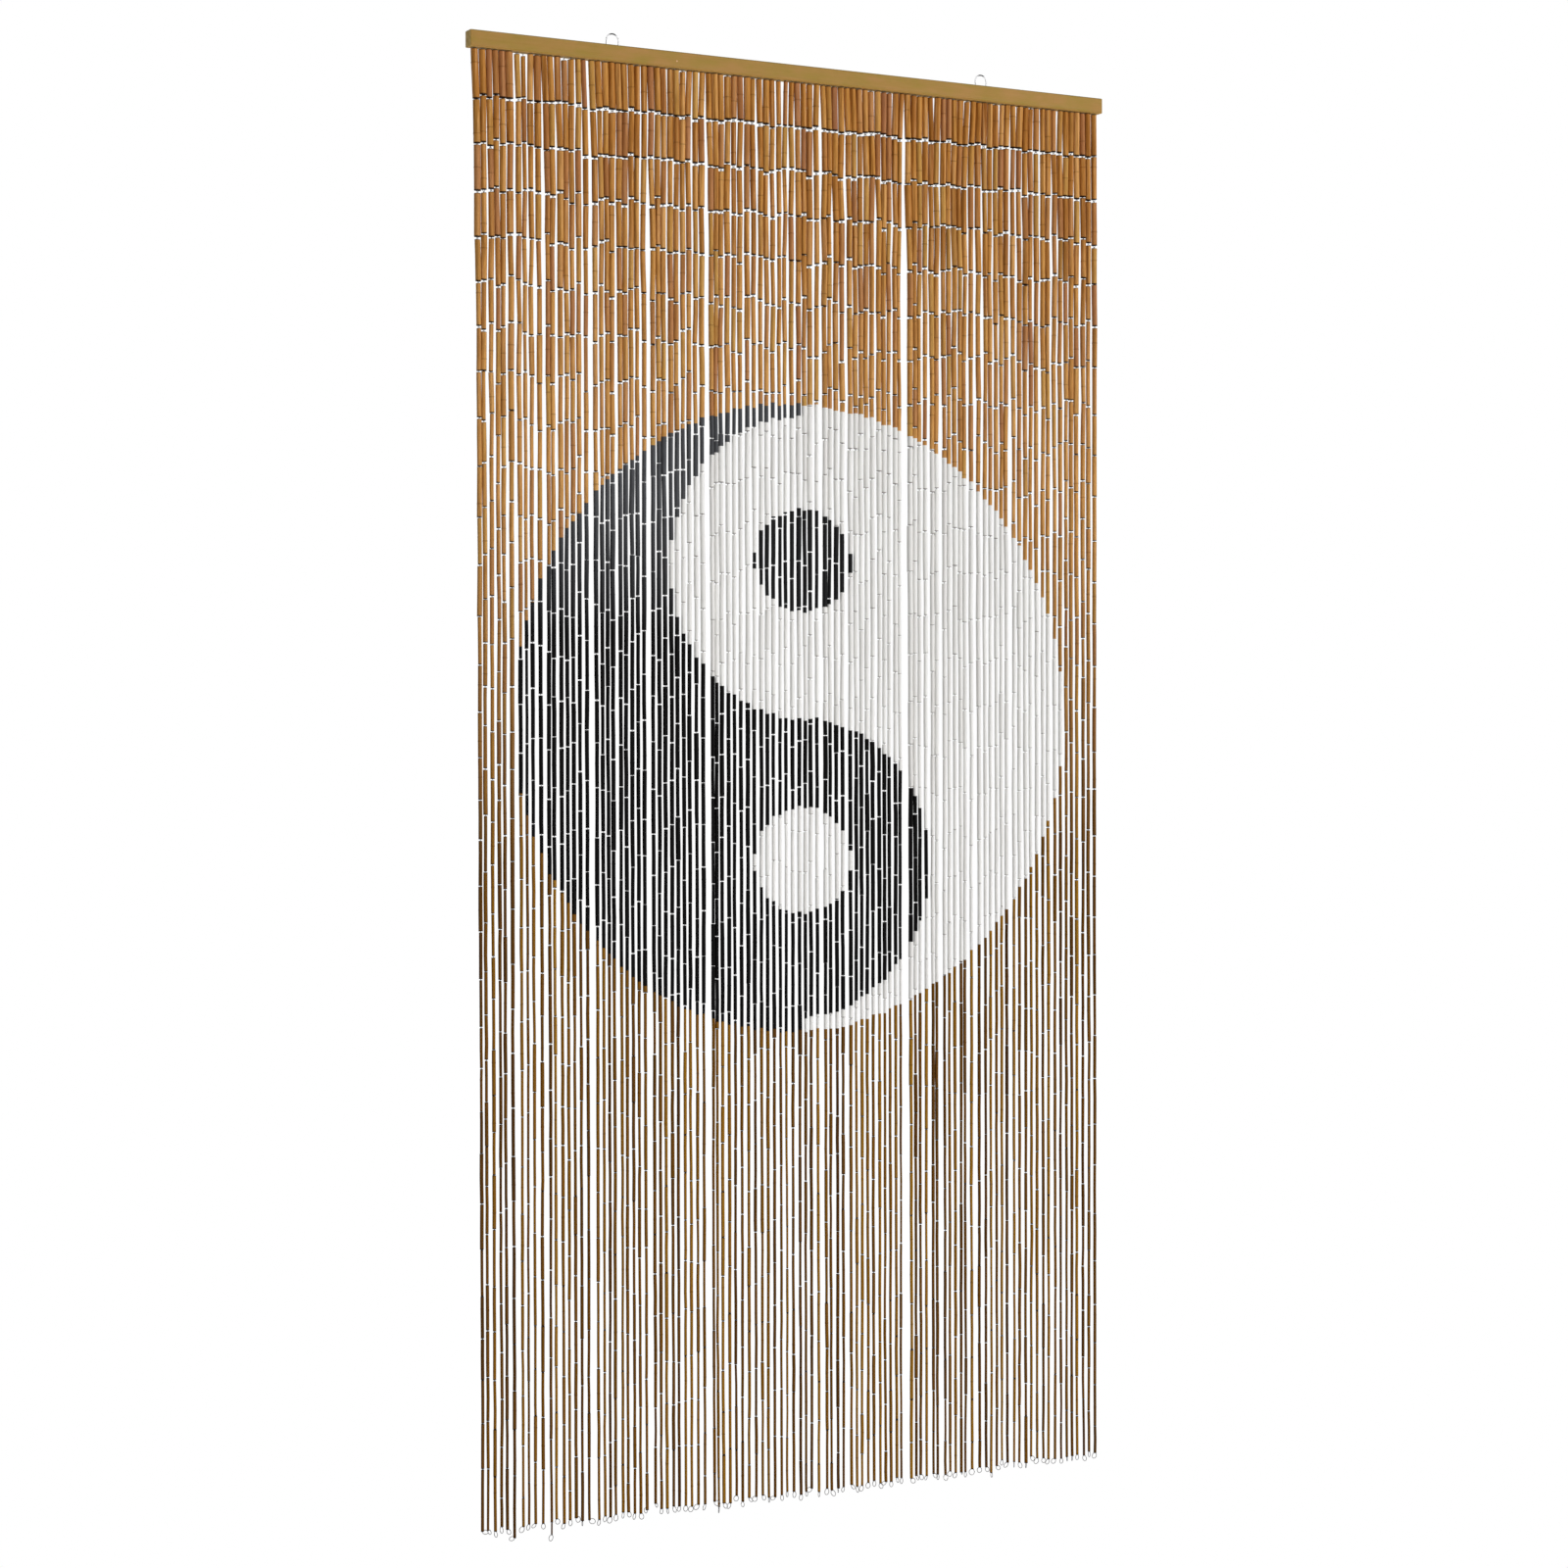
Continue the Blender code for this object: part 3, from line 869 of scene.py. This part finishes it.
def cane_points(cane, pattern, chance):
    """One cane's points from the pattern, with its own knot, oval, bend, taper and cut ends."""
    run = cane.bottom - cane.top
    length = np.linalg.norm(run)
    side, front, down = cane_axes(run)
    along = -pattern.points[:, 2]
    knot_at = chance.uniform(KNOT_FIRST_PLACE, KNOT_LAST_PLACE)
    along = np.where(along < 0.5, along * knot_at / 0.5, 1 - (1 - along) * (1 - knot_at) / 0.5)
    knot = (np.abs(along - knot_at) < KNOT_BAND) * float(chance.random() < KNOT_SHARE)
    turn = chance.uniform(0, math.tau)
    spun_x = pattern.points[:, 0] * math.cos(turn) - pattern.points[:, 1] * math.sin(turn)
    spun_y = pattern.points[:, 0] * math.sin(turn) + pattern.points[:, 1] * math.cos(turn)
    oval = chance.uniform(-CANE_OVAL, CANE_OVAL)
    taper = chance.uniform(-CANE_TAPER, CANE_TAPER) * (along - 0.5)
    radius = cane.width / 2 * (1 + KNOT_SWELL * knot + taper)
    across = radius * spun_x * (1 + oval)
    deep = radius * spun_y * (1 - oval)
    bend = between(CANE_BEND_AT_TOP, CANE_BEND_AT_FOOT, min(1.0, cane.order / CANES_PER_STRAND))
    bow = 4 * along * (1 - along)
    across_line = across + chance.gauss(0, bend) * bow
    deep_line = deep + chance.gauss(0, bend) * bow
    near_end = (along < CANE_END_SHARE) | (along > 1 - CANE_END_SHARE)
    slant = chance.uniform(-CANE_END_SLANT, CANE_END_SLANT) * near_end
    distance = along * length + slant * across
    points = cane.top + np.outer(across_line, side) + np.outer(deep_line, front) + np.outer(distance, down)
    return points, along * length, knot


def cut_faces(pattern):
    """1 for each face of the cane pattern that is cut wood, in the bore or flat across, else 0; these take
    a near-black colour that paints the bore's shade.
    """
    marks = []
    for face in pattern.faces:
        points = pattern.points[list(face)]
        in_bore = np.hypot(points[:, 0], points[:, 1]).max() < 1 - CANE_WALL / 2
        on_end = np.ptp(points[:, 2]) < KNOT_HALF_LENGTH / 2
        marks.append(float(in_bore or on_end))
    return marks


def add_canes(name, rows, pattern, finish, chance):
    """All canes of one strip as one piece, with the values that colour each of them."""
    size = len(pattern.points)
    places = []
    values = {key: [] for key in CANE_VALUES}
    for canes in rows:
        jitter = chance.uniform(-PAINT_JITTER, PAINT_JITTER)
        strand_tone = chance.random()
        strand_x = np.mean([cane.top[0] for cane in canes])
        for cane in canes:
            points, distance, knot = cane_points(cane, pattern, chance)
            places.append(points)
            cane_tone = between(strand_tone, chance.random(), CANE_TONE_OWN_SHARE)
            values["cane_tone"].append(np.full(size, cane_tone))
            values["strand_tone"].append(np.full(size, strand_tone))
            values["cane_warmth"].append(np.full(size, chance.random()))
            values["from_top"].append(distance)
            values["from_bottom"].append(distance.max() - distance)
            values["cane_knot"].append(knot)
            values["paint_x"].append(np.full(size, strand_x))
            values["paint_z"].append(points[:, 2] + jitter)
    piece = joined(name, pattern, np.array(places), finish, values)
    ends = piece.data.attributes.new("cane_end", "FLOAT", "FACE")
    ends.data.foreach_set("value", np.tile(cut_faces(pattern), len(places)).astype(np.float32))
    return piece


def turned_ring(pattern, centre, yaw, pitch=0.0, wide=1.0, tall=1.0):
    """A ring pattern scaled to an oval, swung by pitch in its own plane and turned by yaw about Z."""
    points = pattern.points * (wide, 1.0, tall)
    swing = np.array(Matrix.Rotation(pitch, 3, "Y"))
    turn = np.array(Matrix.Rotation(yaw, 3, "Z"))
    return centre + points @ swing.T @ turn.T


def add_links(name, rows, finish, chance):
    """Two small wire rings, one through the other, in each joint between canes."""
    pattern = ring_pattern(LINK_STEPS, LINK_SIDES, LINK_WIRE_SHARE)
    rings = []
    for canes in rows:
        for upper, lower in zip(canes, canes[1:]):
            middle = (upper.bottom + lower.top) / 2
            gap = np.linalg.norm(lower.top - upper.bottom)
            reach = (gap / 2 + LINK_HOLD) / (1 + LINK_SPREAD)
            radius = min(reach, LINK_RADIUS_SHARE * (upper.width + lower.width) / 2)
            sized = Pattern(pattern.points * radius, pattern.faces)
            yaw = chance.uniform(0, math.pi)
            rings.append(turned_ring(sized, middle + (0, 0, LINK_SPREAD * radius), yaw))
            rings.append(turned_ring(sized, middle - (0, 0, LINK_SPREAD * radius), yaw + QUARTER_TURN))
    piece = joined(name, pattern, np.array(rings), finish)
    return piece


def add_end_loops(name, rows, finish, chance):
    """The thin wire loop at the foot of each strand, each hanging its own way."""
    pattern = ring_pattern(END_LOOP_STEPS, END_LOOP_SIDES, END_LOOP_PATTERN_WIRE)
    radial = np.hypot(pattern.points[:, 0], pattern.points[:, 2])
    line = pattern.points / radial[:, None] * (1, 0, 1)
    wire = (pattern.points - line) * END_LOOP_WIRE / END_LOOP_PATTERN_WIRE
    loops = []
    for canes in rows:
        foot = canes[-1].bottom
        tall = chance.uniform(END_LOOP_LEAST, END_LOOP_MOST)
        wide = tall * chance.uniform(END_LOOP_NARROW_SHARE, END_LOOP_WIDE_SHARE)
        if canes[0].strand in SET_LOOP_SWINGS:
            yaw = 0.0
            swing = SET_LOOP_SWINGS[canes[0].strand]
        else:
            yaw = chance.gauss(END_LOOP_TURN, END_LOOP_TURN_SPREAD)
            free_swing = chance.gauss(0, END_LOOP_SWING_SPREAD)
            swing = max(-END_LOOP_SWING_MOST, min(END_LOOP_SWING_MOST, free_swing))
        points = line * (wide, 1.0, tall) + wire - (0, 0, tall)
        loops.append(turned_ring(Pattern(points, pattern.faces), foot, yaw, swing))
    piece = joined(name, pattern, np.array(loops), finish)
    return piece


def add_staples(name, rows, finish, chance):
    """A small wire ring in the rail's underside for each strand, and the ring its first cane hangs on."""
    pattern = ring_pattern(STAPLE_STEPS, STAPLE_SIDES, STAPLE_WIRE / STAPLE_RADIUS)
    pattern = Pattern(pattern.points * STAPLE_RADIUS, pattern.faces)
    rings = []
    for canes in rows:
        top = canes[0].top
        yaw = chance.gauss(0, STAPLE_TURN_SPREAD)
        rings.append(turned_ring(pattern, np.array((top[0], top[1], RAIL_UNDERSIDE)), yaw))
        rings.append(turned_ring(
            pattern, top + (0, 0, HANG_RING_RISE), yaw + QUARTER_TURN,
            wide=HANG_RING_WIDE, tall=HANG_RING_TALL,
        ))
    piece = joined(name, pattern, np.array(rings), finish)
    return piece


def add_eye(name, node, finish):
    """A smooth wire arch in place of each hanging eye."""
    low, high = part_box(node)
    wire = high.y - low.y
    radius = (high.x - low.x - wire) / 2
    middle_x = (low.x + high.x) / 2
    middle_y = (low.y + high.y) / 2
    bend_z = high.z - wire / 2 - radius
    bm = bmesh.new()
    foot = Matrix.Translation((middle_x - radius, middle_y, low.z))
    bmesh.ops.create_circle(bm, cap_ends=True, segments=EYE_WIRE_SIDES, radius=wire / 2, matrix=foot)
    bottom = bm.faces[:][0]
    tip = bmesh.ops.extrude_discrete_faces(bm, faces=[bottom])["faces"][0]
    bmesh.ops.translate(bm, vec=(0, 0, bend_z - low.z), verts=tip.verts)
    bent = bmesh.ops.spin(
        bm, geom=[tip] + tip.verts[:] + tip.edges[:], cent=(middle_x, middle_y, bend_z),
        axis=(0, 1, 0), angle=math.pi, steps=EYE_STEPS,
    )
    tip = [item for item in bent["geom_last"] if isinstance(item, bmesh.types.BMFace)][0]
    tip = bmesh.ops.extrude_discrete_faces(bm, faces=[tip])["faces"][0]
    bmesh.ops.translate(bm, vec=(0, 0, low.z - bend_z), verts=tip.verts)
    bmesh.ops.recalc_face_normals(bm, faces=bm.faces)
    mesh = bpy.data.meshes.new(name)
    bm.to_mesh(mesh)
    bm.free()
    smoothed(mesh)
    piece = shown(name, mesh, finish)
    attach(piece, "root")
    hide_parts(node)
    return piece


def add_floor(finish):
    """A wide pale floor a little below the curtain's foot."""
    bm = bmesh.new()
    level = Matrix.Translation((0, 0, frame_bounds[0].z - FLOOR_BELOW_CURTAIN))
    bmesh.ops.create_circle(bm, cap_ends=True, segments=FLOOR_SIDES, radius=FLOOR_RADIUS, matrix=level)
    mesh = bpy.data.meshes.new("studio_floor")
    bm.to_mesh(mesh)
    bm.free()
    floor = shown("studio_floor", mesh, finish)


def add_camera():
    """The camera stands to the left of the curtain and looks across it, dipped a little."""
    camera = bpy.data.objects.new("camera", bpy.data.cameras.new("camera"))
    camera.data.lens = CAMERA_LENS
    camera.data.sensor_width = SENSOR_WIDTH
    turn = Matrix.Rotation(-CAMERA_TURN, 4, "Z")
    dip = Matrix.Rotation(math.pi / 2 - CAMERA_DIP, 4, "X")
    roll = Matrix.Rotation(CAMERA_ROLL, 4, "Z")
    camera.matrix_world = Matrix.Translation(CAMERA_PLACE) @ turn @ dip @ roll
    bpy.context.scene.collection.objects.link(camera)
    bpy.context.scene.camera = camera


def add_lights():
    """A soft key from the right, a weak fill from the left and a light behind, turned to the middle."""
    for light in LIGHTS:
        data = bpy.data.lights.new(light.name, "AREA")
        data.size = light.side
        data.energy = light.power
        lamp = bpy.data.objects.new(light.name, data)
        lamp.location = light.place
        aim = LIGHT_AIM - Vector(light.place)
        lamp.rotation_euler = aim.to_track_quat("-Z", "Y").to_euler()
        bpy.context.scene.collection.objects.link(lamp)


def add_surround():
    """White to the camera; to the curtain a dim room, darker overhead than around it."""
    world = bpy.data.worlds.new("pale_surround")
    world.use_nodes = True
    tree = world.node_tree
    ground = tree.nodes["Background"]
    ground.inputs["Color"].default_value = (1.0, 1.0, 1.0, 1.0)
    place = tree.nodes.new("ShaderNodeTexCoord")
    axes = tree.nodes.new("ShaderNodeSeparateXYZ")
    tree.links.new(place.outputs["Generated"], axes.inputs[0])
    room = tree.nodes.new("ShaderNodeMapRange")
    tree.links.new(axes.outputs[2], room.inputs[0])
    levels = (0.0, OVERHEAD_RISE, ROOM_LEVEL_AT_HORIZON, ROOM_LEVEL_OVERHEAD)
    for socket, value in zip(room.inputs[1:5], levels):
        socket.default_value = value
    rays = tree.nodes.new("ShaderNodeLightPath")
    level = tree.nodes.new("ShaderNodeMix")
    tree.links.new(rays.outputs["Is Camera Ray"], level.inputs[0])
    tree.links.new(room.outputs[0], level.inputs[2])
    level.inputs[3].default_value = 1.0
    tree.links.new(level.outputs[0], ground.inputs["Strength"])
    bpy.context.scene.world = world
    bpy.context.scene.view_settings.view_transform = "Standard"


def build():
    """Finish the rail and its eyes, and hang the canes, wire and loops in the strands' places."""
    bamboo = bamboo_finish()
    wire = wire_finish()
    link_wire = link_finish()
    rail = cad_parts["rail"]
    rail.material_slots[0].material = rail_finish()
    eye_wire = eye_finish()
    add_eye("left_eye_wire", "left_eye", eye_wire)
    add_eye("right_eye_wire", "right_eye", eye_wire)
    hang = random.Random(HANG_SEED)
    strands = plan_strands(hang)
    lines = plan_lines(strands, hang)
    chance = random.Random(CANE_SEED)
    rows = plan_canes(strands, lines, chance)
    pattern = cane_pattern()
    share = STRAND_COUNT // len(STRIPS)
    for strip, node in enumerate(STRIPS):
        own = rows[strip * share:(strip + 1) * share]
        canes = add_canes(f"canes_{strip + 1}", own, pattern, bamboo, chance)
        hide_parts(node)
        add_links(f"cane_links_{strip + 1}", own, link_wire, chance)
    add_end_loops("end_loops", rows, wire, chance)
    add_staples("rail_staples", rows, wire, chance)


add_camera()
build()
add_floor(floor_finish())
add_lights()
add_surround()
